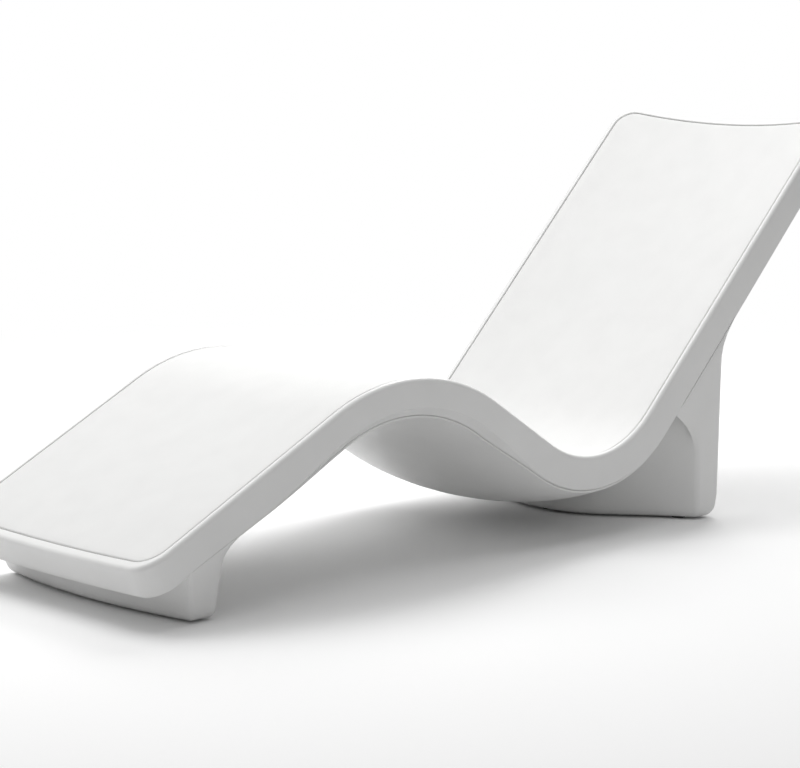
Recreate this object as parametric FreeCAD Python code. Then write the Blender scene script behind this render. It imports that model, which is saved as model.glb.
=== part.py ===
"""Moulded relaxation lounger: two bonded shells, an inset lying panel, a foot and a rear leg."""
import FreeCAD, Part
import functools
import math
import os

# Side line of the rim, from the foot end to the head end
CALF_SLOPE = 26.74
THIGH_SLOPE = 33.1
BACK_SLOPE = 45.48
CALF_REACH = 779.4
THIGH_REACH = 645.9
BACK_REACH = 1062.3
KNEE_RADIUS = 436.2
SEAT_RADIUS = 238.3
FOOT_END_HEIGHT = 123.0

# Lounger across its width, and what all pieces share
WIDTH = 640.0
CORNER_RADIUS = 60.0
WALL = 5.0
JOINT_GAP = 0.3
OVERRUN = 30.0

# Dish of the lying surface at the foot end, knee, seat and head end
FOOT_DISH = 10.0
KNEE_DISH = 14.0
SEAT_DISH = 28.0
HEAD_DISH = 38.5

# Upper shell: rounded rim, side wall and the ledge that leads in to the seam
RIM_ROUND = 11.0
RIM_WIDTH = 13.0
FOOT_RIM_WIDTH = 24.0
FOOT_SEAM_DEPTH = 64.5
KNEE_SEAM_DEPTH = 76.5
SEAT_SEAM_DEPTH = 74.5
HEAD_SEAM_DEPTH = 69.5
LEDGE = 3.0
KNEE_LEDGE = 16.0
SEAT_LEDGE = 6.0
FLANGE = 28.0

# Lying panel and the bead in the groove round it
PANEL_THICKNESS = 6.0
PANEL_GROOVE = 2.5
PANEL_BED = 0.4
BEAD_HEIGHT = 3.0

# Underside shell and its seam
SEAM_BEAD = 2.0
SEAM_STEP = 3.0
HULL_RIM = 3.0
FOOT_BULGE = 8.0
CALF_BULGE = 12.0
KNEE_BULGE = 52.0
SEAT_BULGE = 54.0
BACK_BULGE = 12.0
HEAD_BULGE = 8.0

# Frame of ribs and stringers inside the shells
RIB_THICKNESS = 18.0
RIB_CLEARANCE = 12.0
STRINGER_SPACING_SHARE = 0.47
STRINGER_INSET = 80.0
FRAME_GAP = 0.6
RIB_PLACE_SHARES = {"calf_rib_low": 0.125, "calf_rib_high": 0.23, "knee_rib": 0.33, "thigh_rib": 0.45,
                    "seat_rib": 0.54, "lumbar_rib": 0.61, "back_rib": 0.79, "head_rib": 0.92}

# Foot
FOOT_SETBACK = 97.0
FOOT_THICKNESS = 108.0
FOOT_SIDE_INSET = 41.0
FOOT_BOW = 34.0
FOOT_CORNER = 32.0
FOOT_BOTTOM_ROUND = 28.0
FOOT_HEEL_ROUND = 35.0
FOOT_BLEND = 90.0
FOOT_BLEND_REACH = 110.0

# Rear leg: a slab across the width and a keel in front of it
LEG_REACH = 125.0
LEG_THICKNESS = 107.0
LEG_LEAN = 8.0
LEG_HEEL_ROUND = 45.0
LEG_BLEND = 100.0
LEG_BLEND_REACH = 80.0
LEG_ARCH = 50.0
LEG_ARCH_REACH = 150.0
LEG_SIDE_ROUND = 18.0
LEG_BOTTOM_ROUND = 12.0
KEEL_LENGTH = 137.0
KEEL_NOSE_SHARE = 0.3
KEEL_NOSE_ROUND = 150.0
KEEL_FLARE_INSET = 82.0
KEEL_FLARE_DEPTH = 9.0
KEEL_FLARE_ROUND = 100.0
KEEL_ROOT_INSET = 22.0

# Bottom walls, access covers and glides under the foot and the leg
SEAT_GAP = 0.6
FLOOR_GAP = 4.0
BASE_WALL = 8.0
REBATE_DEPTH = 3.0
REBATE_WIDTH = 8.0
FOOT_OPENING_LENGTH = 22.0
FOOT_OPENING_WIDTH = 200.0
LEG_OPENING_LENGTH = 90.0
LEG_OPENING_WIDTH = 240.0
OPENING_CORNER = 10.0
GLIDE_RADIUS = 15.0
GLIDE_SETBACK = 37.0
FOOT_GLIDE_SHARE = 0.54
LEG_GLIDE_INSET = 55.0

# Bolts, inserts and screws
BOLT_RADIUS = 4.0
BOLT_HEAD_RADIUS = 6.5
BOLT_HEAD_HEIGHT = 8.0
WASHER_RADIUS = 12.0
WASHER_THICKNESS = 1.6
HOLE_CLEARANCE = 0.5
BOSS_RADIUS = 16.0
BOSS_HEIGHT = 14.0
INSERT_RADIUS = 8.0
INSERT_LENGTH = 9.0
BACKING_PLATE = 12.0
BACKING_BORDER = 34.0
FOOT_BOLT_RUN = 150.0
FOOT_BOLT_SPACING = 140.0
FOOT_BOLT_INSET = 105.0
KEEL_BOLT_REACH = 49.0
KEEL_BOLT_SPACING = 150.0
SLAB_BOLT_REACH = 139.0
SLAB_BOLT_INSET = 105.0
SCREW_RADIUS = 2.0
SCREW_HEAD_RADIUS = 4.0
SCREW_HEAD_HEIGHT = 2.0
SCREW_END_GAP = 1.0
GLIDE_SINK = 1.5
VENT_FLANGE_RADIUS = 12.0
VENT_FLANGE_HEIGHT = 3.0
VENT_STEM_RADIUS = 6.0

# Counts and shares
SPANS_PER_STRAIGHT = 4
BAR_SIDES = 10
GLIDE_SIDES = 24
HULL_FULLNESS_SHARE = 0.45

HALF = WIDTH / 2
OPENING_INSET = KNEE_LEDGE + FLANGE
STRINGER_SPACING = WIDTH * STRINGER_SPACING_SHARE
UP = FreeCAD.Vector(0, 0, 1)


def rim_stretches():
    """Length and signed radius of each stretch of the rim's side line; no radius is straight."""
    calf, thigh, back = (math.radians(slope) for slope in (CALF_SLOPE, THIGH_SLOPE, BACK_SLOPE))
    knee_tangent = KNEE_RADIUS * math.tan((calf + thigh) / 2)
    seat_tangent = SEAT_RADIUS * math.tan((thigh + back) / 2)
    return [(CALF_REACH - knee_tangent, 0),
            (KNEE_RADIUS * (calf + thigh), -KNEE_RADIUS),
            (THIGH_REACH - knee_tangent - seat_tangent, 0),
            (SEAT_RADIUS * (thigh + back), SEAT_RADIUS),
            (BACK_REACH - seat_tangent, 0)]


STRETCHES = rim_stretches()
BREAKS = [sum(length for length, _ in STRETCHES[:count]) for count in range(len(STRETCHES) + 1)]
RIM_LENGTH = BREAKS[-1]
SEAT_RUN = (BREAKS[3] + BREAKS[4]) / 2
DEEPEST = max(KNEE_SEAM_DEPTH, SEAT_SEAM_DEPTH) + max(KNEE_BULGE, SEAT_BULGE) + OVERRUN


def rim_at(run):
    """Point and slope of the rim's side line at a distance along it."""
    x, z, slope = 0, FOOT_END_HEIGHT, math.radians(CALF_SLOPE)
    for index, (length, radius) in enumerate(STRETCHES):
        last = index == len(STRETCHES) - 1
        part = run if last else min(run, length)
        if radius:
            turned = slope + part / radius
            x += radius * (math.sin(turned) - math.sin(slope))
            z -= radius * (math.cos(turned) - math.cos(slope))
            slope = turned
        else:
            x += part * math.cos(slope)
            z += part * math.sin(slope)
        run -= part
        if run <= 0:
            break
    return x, z, slope


LEG_SETBACK = rim_at(BREAKS[4])[0] + LEG_REACH


def place(run, side, depth):
    """Point at a run along the rim, a distance to the side and a depth under the rim."""
    x, z, slope = rim_at(run)
    return FreeCAD.Vector(x + depth * math.sin(slope), side, z - depth * math.cos(slope))


def inward(run):
    """Direction of growing depth at a run."""
    slope = rim_at(run)[2]
    return FreeCAD.Vector(math.sin(slope), 0, -math.cos(slope))


def eased(run, runs, values):
    """Value at a run, passing smoothly from one named value to the next."""
    if run <= runs[0]:
        return values[0]
    for low, high, start, end in zip(runs, runs[1:], values, values[1:]):
        if run <= high:
            share = (run - low) / (high - low)
            return start + (end - start) * (1 - math.cos(math.pi * share)) / 2
    return values[-1]


def by_place(run, foot, knee, seat, head):
    """Value that keeps still on the two arcs and changes smoothly on the straight stretches."""
    return eased(run, BREAKS, (foot, knee, knee, seat, seat, head))


def dish(run):
    return by_place(run, FOOT_DISH, KNEE_DISH, SEAT_DISH, HEAD_DISH)


def seam_depth(run):
    return by_place(run, FOOT_SEAM_DEPTH, KNEE_SEAM_DEPTH, SEAT_SEAM_DEPTH, HEAD_SEAM_DEPTH)


def ledge(run):
    return by_place(run, LEDGE, KNEE_LEDGE, SEAT_LEDGE, LEDGE)


def bulge(run):
    if run < BREAKS[1]:
        return eased(run, (0, BREAKS[1] / 2, BREAKS[1]), (FOOT_BULGE, CALF_BULGE, KNEE_BULGE))
    middle = (BREAKS[4] + RIM_LENGTH) / 2
    return eased(run, BREAKS[2:5] + [middle, RIM_LENGTH],
                 (KNEE_BULGE, SEAT_BULGE, SEAT_BULGE, BACK_BULGE, HEAD_BULGE))


def hull_half(run):
    return HALF - ledge(run) - SEAM_STEP


def hull_edge_depth(run):
    return seam_depth(run) + SEAM_BEAD + HULL_RIM


def hull_depth(run, side):
    """Depth of the underside at a distance from the middle."""
    low, high = 0, 1
    for _ in range(50):
        middle = (low + high) / 2
        rest = 1 - middle
        across_share = (middle ** 3 - rest ** 3
                        + 3 * HULL_FULLNESS_SHARE * middle * rest * (middle - rest))
        if across_share * hull_half(run) < side:
            low = middle
        else:
            high = middle
    return hull_edge_depth(run) + bulge(run) * 4 * low * (1 - low)


def across(run, half, depth, crown, fullness_share=0):
    """Curve across the width, deeper by its crown in the middle: an arc, or fuller by a share."""
    ends = [place(run, -half, depth), place(run, half, depth)]
    if not crown:
        return Part.makeLine(*ends)
    if not fullness_share:
        return Part.Arc(ends[0], place(run, 0, depth + crown), ends[1]).toShape()
    rise = crown / (1 - 1 / 4)
    inner = [place(run, sign * half * fullness_share, depth + rise) for sign in (-1, 1)]
    curve = Part.BezierCurve()
    curve.setPoles(ends[:1] + inner + ends[1:])
    return curve.toShape()


def section(run, flank, top_crown=0, bottom_crown=0, top_share=0, bottom_share=0):
    """Closed section: a flank of (half width, depth) points, top first, and its mirror."""
    top = across(run, *flank[0], top_crown, top_share)
    bottom = across(run, *flank[-1], bottom_crown, bottom_share)
    right = [place(run, half, depth) for half, depth in flank]
    left = [place(run, -half, depth) for half, depth in reversed(flank)]
    edges = [top] + [Part.makeLine(a, b) for a, b in zip(right, right[1:])]
    edges += [bottom] + [Part.makeLine(a, b) for a, b in zip(left, left[1:])]
    return Part.Wire(edges)


def polygon_section(run, points):
    corners = [place(run, side, depth) for side, depth in points]
    return Part.makePolygon(corners + corners[:1])


def sweep(draw):
    """Solid through the sections drawn along the rim, past both of its ends: turned about the
    arcs' centres, and drawn through a few stations on the straight stretches."""
    solids = []
    for index, (length, radius) in enumerate(STRETCHES):
        low, high = BREAKS[index], BREAKS[index + 1]
        if radius:
            axis = FreeCAD.Vector(0, -math.copysign(1, radius), 0)
            turned = math.degrees(length / abs(radius))
            solids.append(Part.Face(draw(low)).revolve(place(low, 0, -radius), axis, turned))
            continue
        runs = [low + length * count / SPANS_PER_STRAIGHT for count in range(SPANS_PER_STRAIGHT + 1)]
        if index == 0:
            runs = [low - OVERRUN] + runs
        if high == RIM_LENGTH:
            runs = runs + [high + OVERRUN]
        solids.append(Part.makeLoft([draw(run) for run in runs], True, False))
    return solids[0].multiFuse(solids[1:])


def end_edges(solid, run):
    """Upright edges of a lofted solid's end at this run, and the end's other edges."""
    origin, depth_way = place(run, 0, 0), inward(run)
    along = FreeCAD.Vector(-depth_way.z, 0, depth_way.x)
    upright, level = [], []
    for edge in solid.Edges:
        ends = [vertex.Point - origin for vertex in edge.Vertexes]
        if max(abs(point.dot(along)) for point in ends) < JOINT_GAP:
            is_upright = abs(ends[0].y - ends[-1].y) < JOINT_GAP
            (upright if is_upright else level).append(edge)
    return upright, level


def round_corners(solid, start, end, radius):
    """Round the four upright corners of a lofted solid."""
    corners = end_edges(solid, start)[0] + end_edges(solid, end)[0]
    return solid.makeFillet(radius, corners)


def side_curve(start, end, depth):
    """Edges of the rim's side line at a depth, between two runs."""
    runs = [start] + [run for run in BREAKS if start < run < end] + [end]
    edges = []
    for low, high in zip(runs, runs[1:]):
        first, middle, last = (place(run, 0, depth) for run in (low, (low + high) / 2, high))
        straight = abs(rim_at(low)[2] - rim_at(high)[2]) * RIM_LENGTH < JOINT_GAP
        edges.append(Part.makeLine(first, last) if straight
                     else Part.Arc(first, middle, last).toShape())
    return edges


def plan_block(inset, high=-OVERRUN, foot_extra=0):
    """Block down through both shells, inset from the rim all round, with rounded corners."""
    start, end = inset + foot_extra, RIM_LENGTH - inset
    top, bottom = side_curve(start, end, high), side_curve(start, end, DEEPEST)
    ends = [Part.makeLine(place(run, 0, high), place(run, 0, DEEPEST)) for run in (start, end)]
    profile = Part.Face(Part.Wire(Part.__sortEdges__(top + bottom + ends)))
    profile.translate(FreeCAD.Vector(0, inset - HALF, 0))
    block = profile.extrude(FreeCAD.Vector(0, WIDTH - inset - inset, 0))
    return round_corners(block, start, end, CORNER_RADIUS - inset)


def dished_layer(top, bottom):
    """Layer between two depths that both follow the dish, wider and longer than the rim."""
    half = HALF + OVERRUN

    def draw(run):
        side = dish(run) * (1 - (half / HALF) ** 2)
        crown = dish(run) - side
        return section(run, [(half, top + side), (half, bottom + side)], crown, crown)

    return sweep(draw)


def dished_slab(inset, top, bottom):
    """Dished slab inside the rim, which is wider at the foot end."""
    block = plan_block(inset, foot_extra=FOOT_RIM_WIDTH - RIM_WIDTH)
    return block.common(dished_layer(top, bottom))


def side_wedge(run, sign):
    """Section of what the ledge takes off the side wall's lower edge."""
    depth = seam_depth(run)
    points = ((HALF + OVERRUN, depth - ledge(run) - OVERRUN),
              (HALF + OVERRUN, depth + OVERRUN),
              (HALF - ledge(run) - OVERRUN, depth + OVERRUN))
    return polygon_section(run, [(sign * side, sink) for side, sink in points])


def upper_blank():
    """Outside of the upper shell as one block, rim rounded and ledges cut."""
    half = HALF + OVERRUN

    def draw(run):
        side = dish(run) * (1 - (half / HALF) ** 2)
        return section(run, [(half, side), (half, seam_depth(run))], dish(run) - side)

    blank = plan_block(0).common(sweep(draw))
    blank = blank.makeFillet(RIM_ROUND, [edge for edge in blank.Edges if on_rim(edge)])
    for sign in (-1, 1):
        blank = blank.cut(sweep(lambda run: side_wedge(run, sign)))
    return blank


def on_rim(edge):
    """Whether an edge of the blank runs along the rim's top."""
    start, end = (vertex.Point for vertex in (edge.Vertexes[0], edge.Vertexes[-1]))
    return all(depth_of(point) < FOOT_SEAM_DEPTH / 2 for point in (start, end, edge_middle(edge)))


def edge_middle(edge):
    return edge.valueAt((edge.FirstParameter + edge.LastParameter) / 2)


def depth_of(point):
    """Depth of a point under the rim line, measured at the nearest run."""
    low, high = 0, RIM_LENGTH
    for _ in range(50):
        third = (high - low) / 3
        near = [(point - place(run, point.y, 0)).Length for run in (low + third, high - third)]
        if near[0] < near[1]:
            high -= third
        else:
            low += third
    run = (low + high) / 2
    return (point - place(run, point.y, 0)).dot(inward(run))


def upper_shell():
    """Rim, side walls, recess floor for the panel and the flange that is bonded to the seam."""
    recess = dished_slab(RIM_WIDTH, -OVERRUN, PANEL_THICKNESS)
    inside = sweep(upper_inside_section).common(plan_block(WALL))
    mouth = plan_block(OPENING_INSET, FOOT_SEAM_DEPTH - WALL - FRAME_GAP)
    return upper_blank().cut([recess, inside, mouth])


def upper_inside_section(run):
    """Hollow of the upper shell, one wall inside its faces."""
    half, narrow = HALF - WALL, HALF - ledge(run) - WALL
    side = dish(run) * (1 - (half / HALF) ** 2)
    top = PANEL_THICKNESS + WALL + side
    bottom = seam_depth(run) - WALL
    flank = [(half, top), (half, bottom - ledge(run)), (narrow, bottom)]
    return section(run, flank, dish(run) - side)


def lying_panel():
    return dished_slab(RIM_WIDTH + PANEL_GROOVE, 0, PANEL_THICKNESS - PANEL_BED)


def panel_bead():
    """Sealing bead in the bottom of the groove round the panel."""
    top = PANEL_THICKNESS - BEAD_HEIGHT
    ring = dished_slab(RIM_WIDTH, top, PANEL_THICKNESS - PANEL_BED)
    return ring.cut(dished_slab(RIM_WIDTH + PANEL_GROOVE, top - OVERRUN, PANEL_THICKNESS + OVERRUN))


def hull_section(run, top, lift):
    """Underside section from a depth down to the bulged face, lifted off that face."""
    flank = [(hull_half(run), top), (hull_half(run), hull_edge_depth(run) - lift)]
    return section(run, flank, 0, bulge(run), bottom_share=HULL_FULLNESS_SHARE)


def hull_blank():
    solid = sweep(lambda run: hull_section(run, seam_depth(run) + SEAM_BEAD, 0))
    return solid.common(plan_block(LEDGE + SEAM_STEP - JOINT_GAP))


def hull_inside(lift, inset):
    """Room over the underside shell's inner face, one mouth wide."""
    room = sweep(lambda run: hull_section(run, FOOT_SEAM_DEPTH / 2, lift))
    return room.common(plan_block(inset))


def seam_bead():
    """Bead between the two shells, set back so that the seam shows as a groove."""
    inset = LEDGE + SEAM_STEP + SEAM_BEAD

    def draw(run):
        half = hull_half(run) - SEAM_BEAD
        return section(run, [(half, seam_depth(run)), (half, seam_depth(run) + SEAM_BEAD)])

    return sweep(draw).common(plan_block(inset)).cut(plan_block(OPENING_INSET))


def bar(foot, axis, radius, length, sides=BAR_SIDES):
    """Bar with many flats for a round one, so that fasteners stay light; its axis lies lengthwise."""
    across_way = FreeCAD.Vector(0, 1, 0)
    along_way = across_way.cross(axis)
    corners = []
    for count in range(sides):
        angle = math.tau * count / sides
        corners.append(foot + along_way * (radius * math.cos(angle))
                       + across_way * (radius * math.sin(angle)))
    return Part.Face(Part.makePolygon(corners + corners[:1])).extrude(axis * length)


def pin(run, side, depth, radius, length):
    """Round bar along the depth direction, from a depth downwards."""
    return bar(place(run, side, depth), inward(run), radius, length)


def rounded_polygon(points, radii):
    """Wire of straight runs with each corner rounded to its radius; no radius stays sharp."""
    count = len(points)
    starts, ends, middles = [], [], []
    for index, (corner, radius) in enumerate(zip(points, radii)):
        to_last = (points[index - 1] - corner).normalize()
        to_next = (points[(index + 1) % count] - corner).normalize()
        half_angle = to_last.getAngle(to_next) / 2
        reach = radius / math.tan(half_angle)
        bisector = (to_last + to_next).normalize()
        starts.append(corner + to_last * reach)
        ends.append(corner + to_next * reach)
        middles.append(corner + bisector * (radius / math.sin(half_angle) - radius))
    edges = []
    for index in range(count):
        if radii[index]:
            arc = Part.Arc(starts[index], middles[index], ends[index])
            edges.append(arc.toShape())
        following = starts[(index + 1) % count]
        if ends[index].distanceToPoint(following) > JOINT_GAP / 10:
            edges.append(Part.makeLine(ends[index], following))
    return Part.Wire(edges)


def upright_prism(outline, radii, low, high):
    """Prism with an outline given as (x, y) points."""
    points = [FreeCAD.Vector(x, y, low) for x, y in outline]
    return Part.Face(rounded_polygon(points, radii)).extrude(UP * (high - low))


def cross_prism(outline, radii, half):
    """Prism across the width with an outline given as (x, z) points."""
    points = [FreeCAD.Vector(x, -half, z) for x, z in outline]
    return Part.Face(rounded_polygon(points, radii)).extrude(FreeCAD.Vector(0, half + half, 0))


@functools.lru_cache(maxsize=None)
def seat_of(depth_gap):
    """Solids of both shells, grown downwards by a gap, that the foot and leg are cut to."""
    half = HALF + OVERRUN
    upper = sweep(lambda run: section(run, [(half, -OVERRUN), (half, seam_depth(run) + depth_gap)]))
    hull = sweep(lambda run: hull_section(run, FOOT_SEAM_DEPTH / 2, -depth_gap))
    return upper, hull


def under_shells(block, seat):
    """What is left of a block below the shells."""
    upper, hull = seat
    pieces = block.cut(upper).cut(hull).Solids
    return min(pieces, key=lambda piece: piece.CenterOfMass.z)


def underside_at(x, run_low, run_high, depth):
    """Run at which the line at a depth under the rim passes this x."""
    for _ in range(50):
        run = (run_low + run_high) / 2
        if place(run, 0, depth).x < x:
            run_low = run
        else:
            run_high = run
    return (run_low + run_high) / 2


def foot_body(inset, seat):
    """Foot block with a bowed front, or with an inset its hollow, cut to the shells."""
    low = FLOOR_GAP + (BASE_WALL if inset else 0)
    front, rear = FOOT_SETBACK + inset, FOOT_SETBACK + FOOT_THICKNESS - inset
    half = HALF - FOOT_SIDE_INSET - inset
    depth = hull_depth(FOOT_BOLT_RUN, half)
    blend_run = underside_at(rear, 0, BREAKS[1], depth)
    blend, reach = place(blend_run, 0, depth), place(blend_run + FOOT_BLEND_REACH, 0, depth)
    high = reach.z + OVERRUN
    side = [(0, low), (rear, low), (rear, blend.z + inset), (reach.x, reach.z + inset),
            (reach.x, high), (0, high)]
    rounds = [0, FOOT_HEEL_ROUND - inset, FOOT_BLEND + inset, 0, 0, 0]
    block = bowed_block(front, reach.x + OVERRUN, half, low, high, inset)
    return under_shells(block.common(cross_prism(side, rounds, half)), seat)


def softened(block, radius, edges, inset):
    """Block with its edges rounded, or bevelled where it is a hollow that nobody sees."""
    return block.makeChamfer(radius, edges) if inset else block.makeFillet(radius, edges)


def bowed_block(front, back, half, low, high, inset):
    """Block with a bowed front, its two front corners and its bottom edges rounded."""
    start = front + FOOT_BOW
    corners = [FreeCAD.Vector(x, y, low) for x, y in
               ((start, half), (back, half), (back, -half), (start, -half))]
    bow = Part.Arc(corners[-1], FreeCAD.Vector(front, 0, low), corners[0]).toShape()
    block = Part.Face(Part.Wire([bow, Part.makePolygon(corners)])).extrude(UP * (high - low))
    before = [edge for edge in block.Edges if min(v.X for v in edge.Vertexes) < back - JOINT_GAP]
    upright = [edge for edge in before if edge.Vertexes[0].Z != edge.Vertexes[-1].Z]
    block = softened(block, FOOT_CORNER - inset, upright, inset)
    bottom = [edge for edge in block.Edges if max(v.Z for v in edge.Vertexes) < low + JOINT_GAP
              and min(v.X for v in edge.Vertexes) < back - JOINT_GAP]
    return softened(block, FOOT_BOTTOM_ROUND - inset, bottom, inset)


def leg_body(inset, seat):
    """Leg slab with its keel, or with an inset their hollow, cut to the shells."""
    low = FLOOR_GAP + (BASE_WALL if inset else 0)
    front, rear = LEG_SETBACK + inset, LEG_SETBACK + LEG_THICKNESS - inset
    half = HALF - LEDGE - inset
    rear_top = rear + LEG_LEAN
    depth = hull_edge_depth(RIM_LENGTH)
    back_run = underside_at(rear_top, BREAKS[4], RIM_LENGTH, depth)
    arch_run = underside_at(front, BREAKS[4], RIM_LENGTH, depth)
    blend, arch = place(back_run, 0, depth), place(arch_run, 0, depth)
    blend_end = place(back_run + LEG_BLEND_REACH, 0, depth)
    arch_along = blend_end - blend
    arch_end = arch - arch_along * (LEG_ARCH_REACH / LEG_BLEND_REACH)
    high = blend_end.z + OVERRUN
    side = [(front, low), (rear, low), (rear_top, blend.z + inset), (blend_end.x, blend_end.z + inset),
            (blend_end.x, high), (arch_end.x, high), (arch_end.x, arch_end.z + inset),
            (front, arch.z + inset)]
    rounds = [LEG_BOTTOM_ROUND - inset, LEG_HEEL_ROUND - inset, LEG_BLEND + inset, 0, 0, 0, 0,
              LEG_ARCH + inset]
    slab = cross_prism(side, rounds, half)
    outside = [edge for edge in slab.Edges
               if abs(edge.Vertexes[0].Y - edge.Vertexes[-1].Y) < JOINT_GAP
               and outline_edge(edge, high, arch_end.x, blend_end.x)]
    slab = slab.makeFillet(LEG_SIDE_ROUND - inset, outside)
    nose = HALF * KEEL_NOSE_SHARE - inset
    flare, root = (HALF - KEEL_FLARE_INSET - inset, HALF - KEEL_ROOT_INSET - inset)
    tip, flare_x, back = front - KEEL_LENGTH, front - KEEL_FLARE_DEPTH, (front + rear) / 2
    right = [(tip, nose), (flare_x, flare), (front + KEEL_FLARE_DEPTH, root), (back, root)]
    outline = right + [(x, -y) for x, y in reversed(right)]
    half_rounds = [KEEL_NOSE_ROUND - inset, KEEL_FLARE_ROUND + inset, 0, 0]
    keel = upright_prism(outline, half_rounds + half_rounds[::-1], low, high)
    return under_shells(slab.fuse(keel), seat)


def outline_edge(edge, high, left, right):
    """Whether a level edge of the slab's side lies on its outline below the shells."""
    points = [vertex.Point for vertex in (edge.Vertexes[0], edge.Vertexes[-1])]
    at_top = all(abs(point.z - high) < JOINT_GAP for point in points)
    upright_end = any(all(abs(point.x - x) < JOINT_GAP for point in points)
                      for x in (left, right))
    return not at_top and not upright_end


def moulding(body, opening, bosses, cuts):
    """Hollow moulding with an opening in its bottom wall, a rebate round it and bolt bosses."""
    outside = body(0, seat_of(SEAT_GAP))
    hollow = body(WALL, seat_of(SEAT_GAP + WALL)).cut(bosses)
    mouth = opening_prism(opening, 0, FLOOR_GAP - OVERRUN, FLOOR_GAP + OVERRUN)
    rebate = opening_prism(opening, REBATE_WIDTH, FLOOR_GAP - OVERRUN, FLOOR_GAP + REBATE_DEPTH)
    return outside.cut([hollow, mouth, rebate] + cuts)


def opening_prism(opening, grow, low, high):
    """Upright prism over an opening, grown all round."""
    x, half_x, half_y = opening[0], opening[1] / 2 + grow, opening[2] / 2 + grow
    outline = [(x - half_x, -half_y), (x + half_x, -half_y), (x + half_x, half_y),
               (x - half_x, half_y)]
    return upright_prism(outline, [OPENING_CORNER] * len(outline), low, high)


def floor_screw(x, y, low):
    """Pan-head screw driven up into a bottom wall, its head's face at a height."""
    top = FLOOR_GAP + BASE_WALL - SCREW_END_GAP
    foot = FreeCAD.Vector(x, y, low)
    head = bar(foot, UP, SCREW_HEAD_RADIUS, SCREW_HEAD_HEIGHT)
    return head.fuse(bar(foot, UP, SCREW_RADIUS, top - low))


def cover_screws(opening):
    """Screws through the rebate at the four quarter points of an opening's long sides."""
    x, length, width = opening
    side = (width + REBATE_WIDTH) / 2
    return [floor_screw(x + sign_x * length / 4, sign_y * side, FLOOR_GAP - SCREW_HEAD_HEIGHT)
            for sign_x in (-1, 1) for sign_y in (-1, 1)]


def access_cover(opening, screws):
    """Plate that lies in the rebate, with its screw holes."""
    plate = opening_prism(opening, REBATE_WIDTH - JOINT_GAP, FLOOR_GAP, FLOOR_GAP + REBATE_DEPTH)
    return plate.cut(screws)


def glide(x, y, screw):
    """Rubber disc between a bottom wall and the floor, with a sunk hole for its screw."""
    foot = FreeCAD.Vector(x, y, 0)
    disc = bar(foot, UP, GLIDE_RADIUS, FLOOR_GAP, GLIDE_SIDES)
    access = bar(foot, UP, SCREW_HEAD_RADIUS, GLIDE_SINK)
    return disc.cut([screw, access])


def mirrored(pairs):
    """The same places on both sides of the middle."""
    return [(run, sign * side) for run, side in pairs for sign in (-1, 1)]


def bolt_set(places):
    """Bosses, holes, bolts, washers and inserts at (run, side) places under the shells."""
    bosses, holes, bolts, washers, inserts = [], [], [], [], []
    for run, side in places:
        skin = hull_depth(run, side)
        seat_depth = skin + SEAT_GAP + BOSS_HEIGHT
        top_depth = skin - WALL - JOINT_GAP - BACKING_PLATE
        bosses.append(pin(run, side, skin - WALL, BOSS_RADIUS, BOSS_HEIGHT + WALL + SEAT_GAP))
        holes.append(pin(run, side, top_depth - BACKING_PLATE, BOLT_RADIUS + HOLE_CLEARANCE,
                         seat_depth - top_depth + BACKING_PLATE + OVERRUN))
        washer = pin(run, side, seat_depth, WASHER_RADIUS, WASHER_THICKNESS)
        shank = pin(run, side, top_depth, BOLT_RADIUS, seat_depth + WASHER_THICKNESS - top_depth)
        head = pin(run, side, seat_depth + WASHER_THICKNESS, BOLT_HEAD_RADIUS, BOLT_HEAD_HEIGHT)
        insert = pin(run, side, top_depth, INSERT_RADIUS, INSERT_LENGTH)
        washers.append(washer.cut(holes[-1]))
        bolts.append(shank.fuse(head))
        inserts.append(insert.cut(shank))
    return bosses, holes, bolts, washers, inserts


def backing_layer(places, gap):
    """Layer bedded on the underside shell's inner face round bolt places, grown by a gap."""
    runs = [run for run, _ in places]
    half = max(side for _, side in places) + BACKING_BORDER + gap
    start, end = min(runs) - BACKING_BORDER - gap, max(runs) + BACKING_BORDER + gap

    def draw(run):
        low = hull_edge_depth(run) - WALL - FRAME_GAP
        flank = [(hull_half(run), low - BACKING_PLATE - gap), (hull_half(run), low + gap)]
        return section(run, flank, bulge(run), bulge(run), HULL_FULLNESS_SHARE,
                       HULL_FULLNESS_SHARE)

    strip = block_between(start, end, -half, half)
    return sweep(draw).common(strip)


def block_between(start, end, left, right):
    """Block through both shells between two runs and two sides."""
    edges = side_curve(start, end, -OVERRUN) + side_curve(start, end, DEEPEST)
    edges += [Part.makeLine(place(run, 0, -OVERRUN), place(run, 0, DEEPEST)) for run in (start, end)]
    profile = Part.Face(Part.Wire(Part.__sortEdges__(edges)))
    profile.translate(FreeCAD.Vector(0, left, 0))
    return profile.extrude(FreeCAD.Vector(0, right - left, 0))


def frame_room():
    """Room between the shells that the ribs and stringers fill, clear of both skins."""

    def draw(run):
        half = hull_half(run)
        side = dish(run) * (1 - (half / HALF) ** 2)
        top = PANEL_THICKNESS + WALL + FRAME_GAP + side
        flank = [(half, top), (half, hull_edge_depth(run) - WALL - FRAME_GAP)]
        return section(run, flank, dish(run) - side, bulge(run),
                       bottom_share=HULL_FULLNESS_SHARE)

    return sweep(draw)


def middle_depth(run):
    """Depth half way between the two skins in the middle of the width."""
    return (PANEL_THICKNESS + WALL + dish(run) + hull_depth(run, 0)) / 2


def rib_plate(run, thickness, half, high, low):
    """Flat plate square to the rim line at a run, between two depths."""
    start = run - thickness / 2
    corners = [place(start, side, depth) for side, depth in
               ((-half, high), (half, high), (half, low), (-half, low))]
    face = Part.Face(Part.makePolygon(corners + corners[:1]))
    slope = rim_at(start)[2]
    return face.extrude(FreeCAD.Vector(math.cos(slope), 0, math.sin(slope)) * thickness)


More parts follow.
